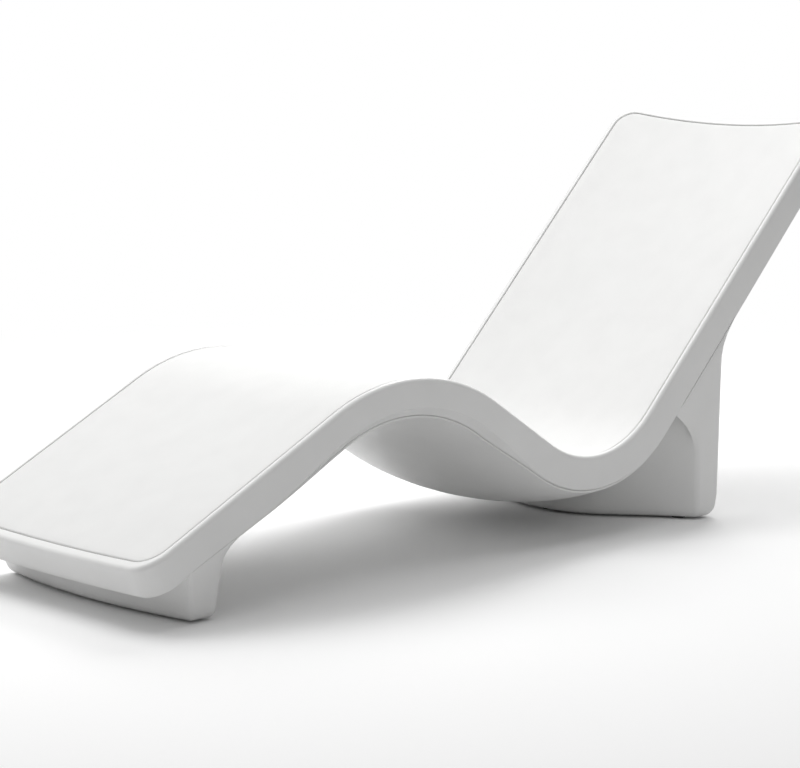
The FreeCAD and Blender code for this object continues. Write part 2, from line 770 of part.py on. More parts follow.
def stringer_slot(run, sign, high, low):
    """Slot block for a stringer where it passes a rib."""
    side = sign * STRINGER_SPACING / 2
    half = RIB_THICKNESS / 2 + JOINT_GAP
    reach = RIB_THICKNESS + FRAME_GAP
    block = rib_plate(run, reach, half, high, low)
    block.translate(FreeCAD.Vector(0, side, 0))
    return block


def inner_frame(cutters):
    """Ribs and two stringers, halved together where they cross and cut round the cutters."""
    room = frame_room()
    rib_half = HALF - OPENING_INSET - RIB_CLEARANCE
    frame = {}
    for name, share in RIB_PLACE_SHARES.items():
        run = RIM_LENGTH * share
        slots = [stringer_slot(run, sign, middle_depth(run) - JOINT_GAP, DEEPEST) for sign in (-1, 1)]
        plate = rib_plate(run, RIB_THICKNESS, rib_half, -OVERRUN, DEEPEST)
        frame[name] = [room.common(plate).cut(slots + cutters)]
    notches = [rib_plate(RIM_LENGTH * share, RIB_THICKNESS + FRAME_GAP, HALF, -OVERRUN,
                         middle_depth(RIM_LENGTH * share) + JOINT_GAP)
               for share in RIB_PLACE_SHARES.values()]
    for name, sign in (("left_stringer", 1), ("right_stringer", -1)):
        middle = sign * STRINGER_SPACING / 2
        board = block_between(STRINGER_INSET, RIM_LENGTH - STRINGER_INSET,
                              middle - RIB_THICKNESS / 2, middle + RIB_THICKNESS / 2)
        frame[name] = [room.common(board).cut(notches + cutters)]
    return frame


def vent_plug():
    """Vent plug in the lowest part of the underside: flange outside, stem through the skin."""
    skin = hull_depth(SEAT_RUN, 0)
    flange = pin(SEAT_RUN, 0, skin + JOINT_GAP, VENT_FLANGE_RADIUS, VENT_FLANGE_HEIGHT)
    stem = pin(SEAT_RUN, 0, skin - WALL * 2, VENT_STEM_RADIUS, WALL * 2 + VENT_FLANGE_HEIGHT)
    return flange.fuse(stem)


def vent_hole():
    skin = hull_depth(SEAT_RUN, 0)
    return pin(SEAT_RUN, 0, skin - WALL - OVERRUN, VENT_STEM_RADIUS + JOINT_GAP,
               WALL + OVERRUN + OVERRUN)


def support(body, places, opening, glide_places):
    """A foot or leg with its bolts, inserts, backing plate, cover, screws and glides."""
    bosses, holes, bolts, washers, inserts = bolt_set(places)
    glide_screws = [floor_screw(x, y, GLIDE_SINK) for x, y in glide_places]
    screws = cover_screws(opening)
    return {"moulding": moulding(body, opening, bosses, holes + glide_screws + screws),
            "holes": holes, "bolts": bolts, "washers": washers, "inserts": inserts,
            "backing": backing_layer(places, 0).cut(inserts + bolts),
            "backing_room": backing_layer(places, FRAME_GAP),
            "cover": access_cover(opening, screws), "cover_screws": screws,
            "glides": [glide(x, y, screw) for (x, y), screw in zip(glide_places, glide_screws)],
            "glide_screws": glide_screws}


def foot_support():
    flat_start = FOOT_SETBACK + FOOT_BOTTOM_ROUND
    flat_end = FOOT_SETBACK + FOOT_THICKNESS - FOOT_HEEL_ROUND
    middle = (flat_start + flat_end) / 2
    glide_bow = FOOT_BOW * FOOT_GLIDE_SHARE ** 2
    glide_side = (HALF - FOOT_SIDE_INSET) * FOOT_GLIDE_SHARE
    places = mirrored([(FOOT_BOLT_RUN, FOOT_BOLT_SPACING / 2),
                       (FOOT_BOLT_RUN, HALF - FOOT_BOLT_INSET)])
    return support(foot_body, places, (middle, FOOT_OPENING_LENGTH, FOOT_OPENING_WIDTH),
                   mirrored([(middle + glide_bow / 2, glide_side)]))


def leg_support():
    places = mirrored([(BREAKS[4] + KEEL_BOLT_REACH, KEEL_BOLT_SPACING / 2),
                       (BREAKS[4] + SLAB_BOLT_REACH, HALF - SLAB_BOLT_INSET)])
    flat_end = LEG_SETBACK + LEG_THICKNESS - LEG_HEEL_ROUND
    middle = flat_end - REBATE_WIDTH - LEG_OPENING_LENGTH / 2
    heel = (LEG_SETBACK + LEG_BOTTOM_ROUND + flat_end) / 2
    nose = LEG_SETBACK - KEEL_LENGTH + GLIDE_SETBACK
    return support(leg_body, places, (middle, LEG_OPENING_LENGTH, LEG_OPENING_WIDTH),
                   [(nose, 0)] + mirrored([(heel, HALF - LEG_GLIDE_INSET)]))


def build():
    """Every node's solids by name."""
    foot, leg = foot_support(), leg_support()
    rooms = [foot["backing_room"], leg["backing_room"]]
    holes = foot["holes"] + leg["holes"] + [vent_hole()]
    hull = hull_blank().cut([hull_inside(WALL, OPENING_INSET)] + holes)
    nodes = {"lying_panel": [lying_panel()], "panel_bead": [panel_bead()],
             "upper_shell": [upper_shell()], "seam_bead": [seam_bead()],
             "underside_shell": [hull], "vent_plug": [vent_plug()],
             "front_foot": [foot["moulding"]], "rear_leg": [leg["moulding"]],
             "cover_screws": foot["cover_screws"] + leg["cover_screws"],
             "glide_screws": foot["glide_screws"] + leg["glide_screws"]}
    for name, parts in (("foot", foot), ("leg", leg)):
        nodes[name + "_backing_plate"] = [parts["backing"]]
        nodes[name + "_cover"] = [parts["cover"]]
        for kind in ("bolts", "washers", "inserts", "glides"):
            nodes[name + "_" + kind] = parts[kind]
    nodes.update(inner_frame(rooms))
    return nodes


def main():
    nodes = build()
    boxes = [nodes[name][0].optimalBoundingBox(False, False)
             for name in ("upper_shell", "underside_shell")]
    middle = (min(box.XMin for box in boxes) + max(box.XMax for box in boxes)) / 2
    os.makedirs("parts", exist_ok=True)
    for name, solids in nodes.items():
        shape = solids[0] if len(solids) == 1 else Part.makeCompound(solids)
        shape.translate(FreeCAD.Vector(-middle, 0, 0))
        shape.exportStep("parts/" + name + ".step")


main()
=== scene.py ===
import functools
import math

import bmesh
import bpy
from bpy.props import FloatProperty, IntProperty, PointerProperty, StringProperty
from mathutils import Matrix, Vector


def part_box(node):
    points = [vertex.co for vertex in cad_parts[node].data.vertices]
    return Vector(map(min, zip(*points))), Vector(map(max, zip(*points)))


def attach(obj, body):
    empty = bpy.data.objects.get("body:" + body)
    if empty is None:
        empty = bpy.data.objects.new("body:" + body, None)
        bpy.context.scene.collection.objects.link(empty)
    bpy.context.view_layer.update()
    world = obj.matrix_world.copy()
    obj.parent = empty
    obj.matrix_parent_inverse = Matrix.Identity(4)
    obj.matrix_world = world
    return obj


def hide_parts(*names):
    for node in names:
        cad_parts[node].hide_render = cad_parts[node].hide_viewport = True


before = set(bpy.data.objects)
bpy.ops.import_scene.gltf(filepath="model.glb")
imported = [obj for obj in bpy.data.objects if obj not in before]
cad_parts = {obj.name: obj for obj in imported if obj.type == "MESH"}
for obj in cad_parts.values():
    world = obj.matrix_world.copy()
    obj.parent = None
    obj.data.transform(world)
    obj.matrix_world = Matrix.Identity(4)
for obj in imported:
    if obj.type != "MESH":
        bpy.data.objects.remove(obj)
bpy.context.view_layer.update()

bl_info = {
    "name": "Moulded relaxation lounger",
    "version": (1, 0, 0),
    "blender": (4, 5, 0),
    "location": "View3D > Sidebar > Lounger",
    "description": "Finishes the packed lounger: shells, supports, panel, materials and stage",
    "category": "Object",
}

BODY = "root"
GELCOAT = "sprayed_white_gelcoat"
TOUCH = 1e-6             # metres within which levels and cuts count as one
WELD = 0.000005          # closest two points of a finished piece may lie
CREASE = math.radians(38)
PACKED_WELD = 0.00001
PACKED_CREASE = math.radians(30)
HALVINGS = 30            # steps of a search by halving


def length(name, metres, text):
    return FloatProperty(name=name, description=text, default=metres, unit="LENGTH", precision=4)


def slope(name, degrees, text):
    return FloatProperty(name=name, description=text, default=math.radians(degrees),
                         subtype="ANGLE")


def colour(name, code, text):
    return StringProperty(name=name, description=text + ", as an sRGB hex value", default=code)


class LoungerSizes(bpy.types.PropertyGroup):
    """Sizes of the shells and the panel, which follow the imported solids."""

    calf_slope: slope("Calf slope", 26.74, "Rise of the rim from the foot end")
    thigh_slope: slope("Thigh slope", 33.1, "Fall of the rim from the knee to the seat")
    back_slope: slope("Back slope", 45.48, "Rise of the rim along the back")
    calf_reach: length("Calf reach", 0.7794, "Foot end to the meeting of calf and thigh lines")
    thigh_reach: length("Thigh reach", 0.6459, "Knee point to the meeting of thigh and back lines")
    back_reach: length("Back reach", 1.0619, "Seat point to the head end")
    knee_radius: length("Knee radius", 0.4362, "Radius of the rim over the knee")
    seat_radius: length("Seat radius", 0.2383, "Radius of the rim under the seat")
    foot_end_height: length("Foot end height", 0.123, "Height of the rim at the foot end")
    width: length("Width", 0.64, "Width over both side walls")
    corner_radius: length("Corner radius", 0.06, "Plan radius of the four corners")
    wall: length("Wall", 0.005, "Wall thickness of the mouldings")
    foot_dish: length("Foot dish", 0.01, "Depth of the lying surface at the foot end")
    knee_dish: length("Knee dish", 0.014, "Depth of the lying surface at the knee")
    seat_dish: length("Seat dish", 0.028, "Depth of the lying surface at the seat")
    head_dish: length("Head dish", 0.0385, "Depth of the lying surface at the head end")
    rim_round: length("Rim round", 0.011, "Outer radius of the rim")
    rim_width: length("Rim width", 0.013, "Width of the rim beside the panel's groove")
    foot_rim_width: length("Foot rim width", 0.024, "Width of the rim at the foot end")
    groove: length("Groove", 0.0025, "Width of the groove round the panel")
    groove_round: length("Groove round", 0.0018, "Radius of the rim's edge at the groove")
    panel_round: length("Panel round", 0.0034, "Radius of the panel's upper edge")
    edge_round: length("Edge round", 0.0008, "Small radius of the moulded edges at the seams")
    panel_thickness: length("Panel thickness", 0.006, "Depth of the recess that holds the panel")
    panel_bed: length("Panel bed", 0.0004, "Adhesive under the panel")
    foot_seam: length("Foot seam depth", 0.0645, "Depth of the seam at the foot end")
    knee_seam: length("Knee seam depth", 0.0765, "Depth of the seam over the knee")
    seat_seam: length("Seat seam depth", 0.0745, "Depth of the seam round the seat")
    head_seam: length("Head seam depth", 0.0695, "Depth of the seam at the head end")
    ledge: length("Ledge", 0.001, "Bevel of the side wall's lower edge at the foot end")
    ledge_start: FloatProperty(name="Ledge start", default=0.55,
                               description="Share of the calf before the bevel grows")
    knee_ledge: length("Knee ledge", 0.016, "The same bevel at the knee")
    seat_ledge: length("Seat ledge", 0.003, "The same bevel at the seat")
    head_ledge: length("Head ledge", 0.0035, "The same bevel at the head end")
    flange: length("Flange", 0.028, "Bonded flange inside the seam")
    seam_bead: length("Seam bead", 0.002, "Height of the seam's groove")
    seam_step: length("Seam step", 0.003, "Step back of the underside at both ends")
    seam_lip: length("Seam lip", 0.0006, "How far the underside stands out between foot and leg")
    seam_gap: length("Seam gap", 0.0008, "Gap over the underside's lip")
    lip_round: length("Lip round", 0.0016, "Radius of that lip")
    hull_rim: length("Hull rim", 0.003, "Upright edge of the underside")
    foot_bulge: length("Foot bulge", 0.008, "Bulge of the underside at the foot end")
    calf_bulge: length("Calf bulge", 0.012, "Bulge of the underside along the calf")
    knee_bulge: length("Knee bulge", 0.052, "Bulge of the underside at the knee")
    seat_bulge: length("Seat bulge", 0.054, "Bulge of the underside at the seat")
    back_bulge: length("Back bulge", 0.012, "Bulge of the underside along the back")
    head_bulge: length("Head bulge", 0.008, "Bulge of the underside at the head end")
    floor_gap: length("Floor gap", 0.0044, "Floor to the foot and the leg, just over the glides")
    seat_gap: length("Seat gap", 0.0003, "Adhesive between the shells and the foot or the leg")
    support_inset: length("Support inset", 0.0004, "Side wall to the sides of the foot and the leg")
    foot_setback: length("Foot setback", 0.097, "Foot end to the middle of the foot's front")
    foot_thickness: length("Foot thickness", 0.09, "Foot from front to back, at the floor")
    foot_bow: length("Foot bow", 0.034, "How far the foot's front is bowed")
    foot_flare: length("Foot flare", 0.026, "How far the foot widens on all sides up to the shells")
    foot_corner: length("Foot corner", 0.009, "Reach of the foot's rounded upright corners")
    foot_blend: length("Foot blend", 0.038, "How far the foot's back runs out under the calf")
    foot_blend_depth: length("Foot blend depth", 0.055, "Height of that run-out")
    bottom_round: length("Bottom round", 0.014, "Radius of the foot's and the leg's bottom edges")
    leg_thickness: length("Leg thickness", 0.107, "Leg from the keel's root to its back")
    keel_length: length("Keel length", 0.137, "Keel in front of the leg")
    keel_nose: length("Keel nose", 0.095, "Half width of the keel's nose")
    keel_round: length("Keel round", 0.07, "Reach of the keel's rounded nose")
    root_reach: length("Root reach", 0.035, "Keel's root in front of the leg's flat sides")
    root_inset: length("Root inset", 0.055, "Keel's root inside the leg's flat sides")
    root_round: length("Root round", 0.03, "Reach of the rounding at the keel's root")
    leg_band: length("Leg side band", 0.07, "Width of the leg's flat sides")
    leg_corner: length("Leg corner", 0.01, "Reach of the leg's rounded upright edges")
    leg_lean: length("Leg lean", 0.012, "How far the leg's back leans out up to the shells")
    leg_blend: length("Leg blend", 0.045, "How far the leg's back runs out under the shells")
    leg_blend_depth: length("Leg blend depth", 0.1, "Height of that run-out")
    leg_arch: length("Leg arch", 0.062, "How far the side band runs forward under the shells")
    leg_arch_depth: length("Leg arch depth", 0.09, "Height of that arch")
    heel_round: length("Heel round", 0.04, "Radius of the bottom edge at the back")
    run_cuts: IntProperty(name="Cuts along", description="Cross cuts along the rim", default=150)
    side_cuts: IntProperty(name="Cuts across", description="Cuts across the width", default=28)
    depth_cuts: IntProperty(name="Support depth cuts", default=14,
                            description="Cuts of the foot and the leg from front to back")
    breadth_cuts: IntProperty(name="Support breadth cuts", default=30,
                              description="Cuts of the foot and the leg across the width")
    height_cuts: IntProperty(name="Support height cuts", default=16,
                             description="Level cuts of the foot and the leg")


class LoungerColours(bpy.types.PropertyGroup):
    """Colours of the finishes."""

    shell: colour("Shell gelcoat", "#F4F4F3", "White gelcoat of shells, foot and leg")
    panel: colour("Panel gelcoat", "#EFEFEE", "White gelcoat of the lying panel")
    # Partly the sealant's own grey and partly painted shade: darkened to stand in for the shade in
    # the panel's groove
    sealant: colour("Sealant", "#ABABAA", "Light grey sealant in the panel's groove")
    seam: colour("Seam sealant", "#EDEDEB", "White sealant in the seam between the shells")
    vent: colour("Vent", "#E4E4E2", "Moulded vent plug")
    cover: colour("Cover", "#DADAD8", "Moulded access covers")
    plywood: colour("Plywood", "#C9A877", "Birch faces of the ribs")
    plywood_edge: colour("Plywood glue lines", "#8A6540", "Glue lines and end grain of the ribs")
    steel: colour("Stainless steel", "#C8C9CB", "Bolts, washers, inserts and screws")
    rubber: colour("Glide rubber", "#1C1C1D", "Black rubber glides")
    rubber_dust: colour("Rubber dust", "#3A3937", "Dust on the glides")
    floor: colour("Floor", "#FFFFFF", "Studio floor")
    floor_bounce: colour("Floor bounce", "#E2E2E2", "Studio floor as it throws light back")


class StageSettings(bpy.types.PropertyGroup):
    """Camera, lamps and floor."""

    azimuth: slope("Azimuth", 43.321, "Camera's heading from the width direction")
    dip: slope("Dip", 8.762, "Camera's look downwards")
    camera_x: length("Camera x", -3.8212, "Camera's place along the lounger")
    camera_y: length("Camera y", -3.9613, "Camera's place across the lounger")
    camera_z: length("Camera z", 1.1713, "Camera's height")
    focal_share: FloatProperty(name="Focal share", description="Focal length over image width",
                               default=3.25)
    sensor_mm: FloatProperty(name="Sensor", description="Sensor width in millimetres", default=36.0)
    floor_size: length("Floor size", 60.0, "Side of the floor")
    floor_fade_start: length("Fade start", 1.8, "Distance at which the floor starts to turn white")
    floor_fade_end: length("Fade end", 3.5, "Distance at which the floor is white")
    overhead_watts: FloatProperty(name="Overhead", description="Overhead softbox in watts",
                                  default=57.0)
    back_watts: FloatProperty(name="Back", description="Far-side softbox in watts", default=70.0)
    foot_side_watts: FloatProperty(name="Foot side", description="Foot-side softbox in watts",
                                   default=22.0)
    head_side_watts: FloatProperty(name="Head side", description="Head-side softbox in watts",
                                   default=122.0)
    sky_strength: FloatProperty(name="Sky", description="Strength of the room's light",
                                default=0.29)


class RimLine:
    """The rim's side line, with the depths and widths that vary along it."""

    def __init__(self, sizes):
        self.s = sizes
        knee_tangent = sizes.knee_radius * math.tan((sizes.calf_slope + sizes.thigh_slope) / 2)
        seat_tangent = sizes.seat_radius * math.tan((sizes.thigh_slope + sizes.back_slope) / 2)
        self.stretches = [
            (sizes.calf_reach - knee_tangent, 0),
            (sizes.knee_radius * (sizes.calf_slope + sizes.thigh_slope), -sizes.knee_radius),
            (sizes.thigh_reach - knee_tangent - seat_tangent, 0),
            (sizes.seat_radius * (sizes.thigh_slope + sizes.back_slope), sizes.seat_radius),
            (sizes.back_reach - seat_tangent, 0),
        ]
        self.breaks = [sum(part for part, _ in self.stretches[:count]) for count in range(6)]
        self.length = self.breaks[-1]
        self.half = sizes.width / 2
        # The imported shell's outermost point at the foot end is on the rim's round, near a corner
        low = sizes.rim_round + self.dish_at(0, self.half - sizes.corner_radius)
        centre = sizes.rim_round * math.cos(sizes.calf_slope) + low * math.sin(sizes.calf_slope)
        self.start_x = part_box("upper_shell")[0].x + sizes.rim_round - centre

    @functools.lru_cache(maxsize=None)
    def at(self, run):
        """Point and slope of the rim's side line at a distance along it."""
        x, z, turned = self.start_x, self.s.foot_end_height, self.s.calf_slope
        for index, (stretch, radius) in enumerate(self.stretches):
            last = index == len(self.stretches) - 1
            part = run if last else min(run, stretch)
            if radius:
                end = turned + part / radius
                x += radius * (math.sin(end) - math.sin(turned))
                z -= radius * (math.cos(end) - math.cos(turned))
                turned = end
            else:
                x += part * math.cos(turned)
                z += part * math.sin(turned)
            run -= part
            if run <= 0:
                break
        return x, z, turned

    def place(self, run, side, depth):
        x, z, turned = self.at(run)
        return Vector((x + depth * math.sin(turned), side, z - depth * math.cos(turned)))

    def eased(self, run, runs, values):
        """Value at a run, passing smoothly from one size to the next."""
        if run <= runs[0]:
            return values[0]
        for low, high, start, end in zip(runs, runs[1:], values, values[1:]):
            if run <= high:
                share = (run - low) / (high - low)
                return start + (end - start) * (1 - math.cos(math.pi * share)) / 2
        return values[-1]

    def by_place(self, run, foot, knee, seat, head):
        """Size that keeps still on both bends and changes smoothly on the straight stretches."""
        return self.eased(run, self.breaks, (foot, knee, knee, seat, seat, head))

    def dish_at(self, run, side):
        """Depth of the dished lying surface under the rim line."""
        sizes = self.s
        middle = self.by_place(run, sizes.foot_dish, sizes.knee_dish, sizes.seat_dish,
                               sizes.head_dish)
        return middle * (1 - (side / self.half) ** 2)

    def seam_depth(self, run):
        sizes = self.s
        return self.by_place(run, sizes.foot_seam, sizes.knee_seam, sizes.seat_seam,
                             sizes.head_seam)

    def ledge(self, run):
        sizes = self.s
        runs = [self.breaks[1] * sizes.ledge_start] + self.breaks[1:]
        return self.eased(run, runs, (sizes.ledge, sizes.knee_ledge, sizes.knee_ledge,
                                      sizes.seat_ledge, sizes.seat_ledge, sizes.head_ledge))

    def bulge(self, run):
        sizes = self.s
        if run < self.breaks[1]:
            return self.eased(run, (0, self.breaks[1] / 2, self.breaks[1]),
                              (sizes.foot_bulge, sizes.calf_bulge, sizes.knee_bulge))
        runs = self.breaks[2:5] + [(self.breaks[4] + self.length) / 2, self.length]
        return self.eased(run, runs, (sizes.knee_bulge, sizes.seat_bulge, sizes.seat_bulge,
                                      sizes.back_bulge, sizes.head_bulge))

    def hull_half(self, run):
        sizes = self.s
        runs = [self.breaks[1] * sizes.ledge_start, self.breaks[1], self.breaks[3], self.breaks[4]]
        step = self.eased(run, runs, (sizes.seam_step, -sizes.seam_lip, -sizes.seam_lip,
                                      sizes.seam_step))
        return self.half - self.ledge(run) - step

    def hull_depth(self, run, side):
        """Depth of the bulged underside at a distance from the middle."""
        low, high, fullness = 0, 1, 0.45
        for _ in range(HALVINGS):
            middle = (low + high) / 2
            rest = 1 - middle
            across = middle ** 3 - rest ** 3 + 3 * fullness * middle * rest * (middle - rest)
            if across * self.hull_half(run) < abs(side):
                low = middle
            else:
                high = middle
        edge = self.seam_depth(run) + self.s.seam_bead + self.s.hull_rim
        return edge + self.bulge(run) * 4 * low * (1 - low)

    def underside(self, x, side):
        """Point of the shells' underside above a place on the floor."""
        low, high = 0, self.length
        for _ in range(HALVINGS):
            run = (low + high) / 2
            point = self.place(run, side, self.under_depth(run, side))
            if point.x < x:
                low = run
            else:
                high = run
        return point

    def under_depth(self, run, side):
        if abs(side) > self.hull_half(run):
            return self.seam_depth(run)
        return self.hull_depth(run, side)


def cut(bm, point, normal):
    """Splits the faces along a plane."""
    bmesh.ops.bisect_plane(bm, geom=bm.verts[:] + bm.edges[:] + bm.faces[:], dist=TOUCH,
                           plane_co=point, plane_no=normal)


def flat_slab(bm, start, end, half, corner, top, bottom):
    """Slab with rounded corners, flat: x along the rim, y to the side, z against the depth."""
    size = Matrix.Diagonal((end - start, half * 2, bottom - top, 1))
    middle = Matrix.Translation(((start + end) / 2, 0, -(top + bottom) / 2))
    bmesh.ops.create_cube(bm, size=1, matrix=middle @ size)
    upright = [edge for edge in bm.edges
               if abs(edge.verts[0].co.z - edge.verts[1].co.z) > (bottom - top) / 2]
    bmesh.ops.bevel(bm, geom=upright, offset=corner, segments=12, profile=0.5,
                    affect="EDGES", material=-1)


def level_face(bm, height, upward):
    """The largest face that lies flat at a height and looks up or down."""
    faces = [face for face in bm.faces
             if abs(face.calc_center_median().z - height) < TOUCH
             and abs(face.normal.z - upward) < 0.01]
    return max(faces, key=lambda face: face.calc_area())


def rounded(bm, face, radius, segments):
    """Rounds the outline of a flat face."""
    bmesh.ops.bevel(bm, geom=list(face.edges), offset=radius, segments=segments, profile=0.5,
                    affect="EDGES", material=-1)


def sunk(bm, face, inset, depth):
    """Insets a face and pushes its middle along the depth; returns that middle."""
    bmesh.ops.inset_region(bm, faces=[face], thickness=inset, use_even_offset=True)
    made = bmesh.ops.extrude_face_region(bm, geom=[face])
    verts = [item for item in made["geom"] if isinstance(item, bmesh.types.BMVert)]
    middle = [item for item in made["geom"] if isinstance(item, bmesh.types.BMFace)][0]
    bmesh.ops.delete(bm, geom=[face], context="FACES_ONLY")
    bmesh.ops.translate(bm, verts=verts, vec=(0, 0, -depth))
    return middle


def cut_across(bm, start, end, half, along, across):
    """Cuts a flat piece into cells, so that it can be bent."""
    for count in range(1, along):
        cut(bm, (start + (end - start) * count / along, 0, 0), (1, 0, 0))
    for count in range(1, across):
        cut(bm, (0, half * (2 * count / across - 1), 0), (0, 1, 0))


def finished_piece(name, bm, bend, node, material):
    """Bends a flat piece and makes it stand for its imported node."""
    for vert in bm.verts:
        vert.co = bend(*vert.co)
    bmesh.ops.remove_doubles(bm, verts=bm.verts[:], dist=WELD)
    bmesh.ops.recalc_face_normals(bm, faces=bm.faces[:])
    for face in bm.faces:
        face.smooth = True
    for edge in bm.edges:
        edge.smooth = edge.calc_face_angle(0) < CREASE
    mesh = bpy.data.meshes.new(name)
    bm.to_mesh(mesh)
    bm.free()
    piece = bpy.data.objects.new(name, mesh)
    bpy.context.scene.collection.objects.link(piece)
    mesh.materials.append(material)
    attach(piece, BODY)
    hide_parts(node)


def linear(code):
    """Linear RGBA of an sRGB hex value."""
    values = [int(code[place:place + 2], 16) / 255 for place in (1, 3, 5)]
    return [value / 12.92 if value <= 0.04045 else ((value + 0.055) / 1.055) ** 2.4
            for value in values] + [1]


def add(tree, kind, settings=None, **links):
    """Adds a node with its settings; links name an input and give a value or another output."""
    node = tree.nodes.new(kind)
    for key, value in (settings or {}).items():
        setattr(node, key, value)
    for key, value in links.items():
        socket = node.inputs[int(key[1:])] if key[0] == "i" and key[1:].isdigit() \
            else node.inputs[key.replace("_", " ")]
        if isinstance(value, bpy.types.NodeSocket):
            tree.links.new(value, socket)
        else:
            socket.default_value = value
    return node


def new_material(name):
    material = bpy.data.materials.new(name)
    material.use_nodes = True
    material.node_tree.nodes.clear()
    return material, material.node_tree


def output(tree, shader):
    add(tree, "ShaderNodeOutputMaterial", Surface=shader)


def varied(tree, coords, code, darker, scale, detail):
    """Colour that drifts a little towards a darker tone, in patches of about 1 / scale metres."""
    noise = add(tree, "ShaderNodeTexNoise", Vector=coords, Scale=scale, Detail=detail)
    tone = add(tree, "ShaderNodeMapRange", Value=noise.outputs["Fac"], From_Min=0.35, From_Max=0.7)
    base = linear(code)
    deep = [value * darker for value in base[:3]] + [1]
    return add(tree, "ShaderNodeMix", {"data_type": "RGBA"}, i0=tone.outputs[0], i6=base, i7=deep)


def roughness_range(tree, coords, low, high, scale):
    noise = add(tree, "ShaderNodeTexNoise", Vector=coords, Scale=scale, Detail=4.0)
    return add(tree, "ShaderNodeMapRange", Value=noise.outputs["Fac"], From_Min=0.3, From_Max=0.7,
               To_Min=low, To_Max=high)


def gelcoat(colours):
    """Glass-fibre shell with a sprayed white gelcoat, waxed: satin, with a faint orange peel
    of 6 mm and a very faint unevenness of tone; darker in patches just above the floor."""
    material, tree = new_material(GELCOAT)
    coords = add(tree, "ShaderNodeTexCoord").outputs["Object"]
    tone = varied(tree, coords, colours.shell, 0.97, 9.0, 3.0)
    height = add(tree, "ShaderNodeSeparateXYZ", Vector=coords)
    # Darker in noise patches from 5 to 30 mm above the floor, strongest at the bottom
    low_patch_noise = add(tree, "ShaderNodeTexNoise", Vector=coords, Scale=160.0, Detail=6.0)
    near_floor = add(tree, "ShaderNodeMapRange", Value=height.outputs["Z"], From_Min=0.005,
                     From_Max=0.03, To_Min=0.35, To_Max=0.0)
    low_darkening = add(tree, "ShaderNodeMath", {"operation": "MULTIPLY", "use_clamp": True},
                  i0=near_floor.outputs[0], i1=low_patch_noise.outputs["Fac"])
    low_dark_tone = [value * 0.72 for value in linear(colours.shell)[:3]] + [1]
    darkened_low_down = add(tree, "ShaderNodeMix", {"data_type": "RGBA"}, i0=low_darkening.outputs[0],
               i6=tone.outputs[2], i7=low_dark_tone)
    rough = roughness_range(tree, coords, 0.36, 0.46, 30.0)
    peel = add(tree, "ShaderNodeTexNoise", Vector=coords, Scale=170.0, Detail=2.0)
    bump = add(tree, "ShaderNodeBump", Height=peel.outputs["Fac"], Strength=0.12, Distance=0.0006)
    shader = add(tree, "ShaderNodeBsdfPrincipled", Base_Color=darkened_low_down.outputs[2],
                 Roughness=rough.outputs[0], Normal=bump.outputs[0], IOR=1.5, Coat_Weight=0.15,
                 Coat_Roughness=0.3)
    output(tree, shader.outputs[0])
    return material


def panel_gelcoat(colours):
    """Gelcoat moulded against a finely grained tool: matte, with pores and pebbles of 1.5 mm,
    drawn at 3 mm because finer ones don't show at this distance."""
    material, tree = new_material("grained_white_gelcoat")
    coords = add(tree, "ShaderNodeTexCoord").outputs["Object"]
    tone = varied(tree, coords, colours.panel, 0.975, 14.0, 6.0)
    grain = add(tree, "ShaderNodeTexVoronoi", {"feature": "SMOOTH_F1"}, Vector=coords, Scale=330.0,
                Smoothness=0.6, Randomness=1.0)
    pores = add(tree, "ShaderNodeTexNoise", Vector=coords, Scale=700.0, Detail=4.0)
    height = add(tree, "ShaderNodeMath", {"operation": "MULTIPLY_ADD"},
                 i0=grain.outputs["Distance"], i1=0.7, i2=pores.outputs["Fac"])
    specks = add(tree, "ShaderNodeMapRange", Value=pores.outputs["Fac"], From_Min=0.3, From_Max=0.5,
                 To_Min=0.06, To_Max=0.0)
    deep = [value * 0.9 for value in linear(colours.panel)[:3]] + [1]
    speckled = add(tree, "ShaderNodeMix", {"data_type": "RGBA"}, i0=specks.outputs[0],
                   i6=tone.outputs[2], i7=deep)
    rough = roughness_range(tree, coords, 0.55, 0.68, 22.0)
    bump = add(tree, "ShaderNodeBump", Height=height.outputs[0], Strength=0.25, Distance=0.0005)
    shader = add(tree, "ShaderNodeBsdfPrincipled", Base_Color=speckled.outputs[2],
                 Roughness=rough.outputs[0], Normal=bump.outputs[0], IOR=1.49)
    output(tree, shader.outputs[0])
    return material


def elastic_sealant(name, code):
    """Polyurethane sealant, gunned and smoothed by hand: matte, with slight waves of 20 mm."""
    material, tree = new_material(name)
    coords = add(tree, "ShaderNodeTexCoord").outputs["Object"]
    tone = varied(tree, coords, code, 0.9, 120.0, 5.0)
    rough = roughness_range(tree, coords, 0.55, 0.7, 80.0)
    waves = add(tree, "ShaderNodeTexNoise", Vector=coords, Scale=50.0, Detail=3.0)
    bump = add(tree, "ShaderNodeBump", Height=waves.outputs["Fac"], Strength=0.3, Distance=0.0008)
    shader = add(tree, "ShaderNodeBsdfPrincipled", Base_Color=tone.outputs[2],
                 Roughness=rough.outputs[0], Normal=bump.outputs[0], IOR=1.5)
    output(tree, shader.outputs[0])
    return material


def moulded_polymer(name, code):
    """Injection-moulded polypropylene: matte, with its spark-eroded tool's grain of 0.5 mm."""
    material, tree = new_material(name)
    coords = add(tree, "ShaderNodeTexCoord").outputs["Object"]
    tone = varied(tree, coords, code, 0.96, 40.0, 3.0)
    rough = roughness_range(tree, coords, 0.5, 0.6, 60.0)
    erosion = add(tree, "ShaderNodeTexNoise", Vector=coords, Scale=2000.0, Detail=2.0)
    bump = add(tree, "ShaderNodeBump", Height=erosion.outputs["Fac"], Strength=0.3, Distance=0.0002)
    shader = add(tree, "ShaderNodeBsdfPrincipled", Base_Color=tone.outputs[2],
                 Roughness=rough.outputs[0], Normal=bump.outputs[0], IOR=1.49)
    output(tree, shader.outputs[0])
    return material


